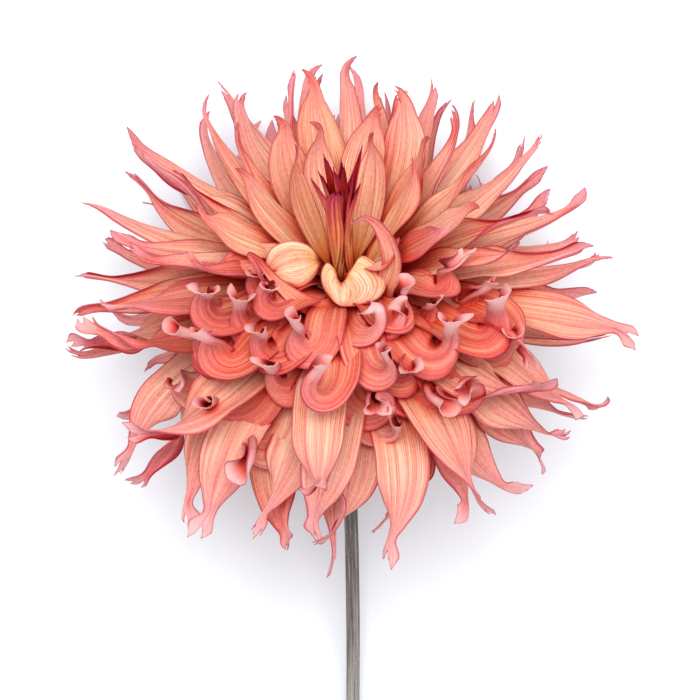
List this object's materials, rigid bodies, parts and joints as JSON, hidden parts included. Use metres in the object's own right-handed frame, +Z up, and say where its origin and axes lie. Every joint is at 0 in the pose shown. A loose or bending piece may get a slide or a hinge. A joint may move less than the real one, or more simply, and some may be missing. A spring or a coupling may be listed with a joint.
{
  "type": "dahlia flower",
  "caption": "Large cut dahlia head of narrow, rolled and split petals in coral and peach on a bare stem, lying down with its face turned up.",
  "frame": {"origin": "on the surface the flower lies on, under the middle of its bounding box", "axes": "+Z up off the surface; the stem runs from the head towards -Y; +X across the head; the head's axis leans 45 degrees from +Z towards +Y"},
  "size_m": [0.229, 0.293, 0.16],
  "materials": {
    "centre_floret": "dull velvety red petal, apricot at its claw",
    "inner_floret": "satin pale peach petal with fine coral veins",
    "middle_floret": "satin coral petal, peach below and magenta-pink at its tip",
    "outer_floret": "satin salmon petal with darker lengthwise veins and a pink tip",
    "receptacle": "dull pale green",
    "inner_bract": "thin, papery yellow-green",
    "outer_bract": "dull leaf green",
    "stem": "dull grey-brown with fine lengthwise ribs"
  },
  "bodies": {
    "root": {"floret_cluster_01": "centre_floret", "floret_cluster_02": "centre_floret", "floret_cluster_03": "centre_floret", "floret_cluster_04": "centre_floret", "floret_cluster_05": "centre_floret", "floret_cluster_06": "inner_floret", "floret_cluster_07": "inner_floret", "floret_cluster_08": "inner_floret", "floret_cluster_09": "inner_floret", "floret_cluster_10": "inner_floret", "floret_cluster_11": "inner_floret", "floret_cluster_12": "inner_floret", "floret_cluster_13": "inner_floret", "floret_cluster_14": "middle_floret", "floret_cluster_15": "middle_floret", "floret_cluster_16": "middle_floret", "floret_cluster_17": "middle_floret", "floret_cluster_18": "middle_floret", "floret_cluster_19": "middle_floret", "floret_cluster_20": "middle_floret", "floret_cluster_21": "middle_floret", "floret_cluster_22": "middle_floret", "floret_cluster_23": "middle_floret", "floret_cluster_24": "middle_floret", "floret_cluster_25": "middle_floret", "floret_cluster_26": "middle_floret", "floret_cluster_27": "outer_floret", "floret_cluster_28": "outer_floret", "floret_cluster_29": "outer_floret", "floret_cluster_30": "outer_floret", "floret_cluster_31": "outer_floret", "floret_cluster_32": "outer_floret", "floret_cluster_33": "outer_floret", "floret_cluster_34": "outer_floret", "floret_cluster_35": "outer_floret", "floret_cluster_36": "outer_floret", "floret_cluster_37": "outer_floret", "floret_cluster_38": "outer_floret", "floret_cluster_39": "outer_floret", "floret_cluster_40": "outer_floret", "floret_cluster_41": "outer_floret", "floret_cluster_42": "outer_floret", "floret_cluster_43": "outer_floret", "floret_cluster_44": "outer_floret", "floret_cluster_45": "outer_floret", "floret_cluster_46": "outer_floret", "floret_cluster_47": "outer_floret", "floret_cluster_48": "outer_floret", "floret_cluster_49": "outer_floret", "floret_cluster_50": "outer_floret", "floret_cluster_51": "outer_floret", "floret_cluster_52": "outer_floret", "receptacle": "receptacle", "inner_bracts": "inner_bract", "stem": "stem", "outer_bract_1": "outer_bract", "outer_bract_2": "outer_bract", "outer_bract_3": "outer_bract", "outer_bract_4": "outer_bract", "outer_bract_5": "outer_bract"}
  },
  "joints": []
}
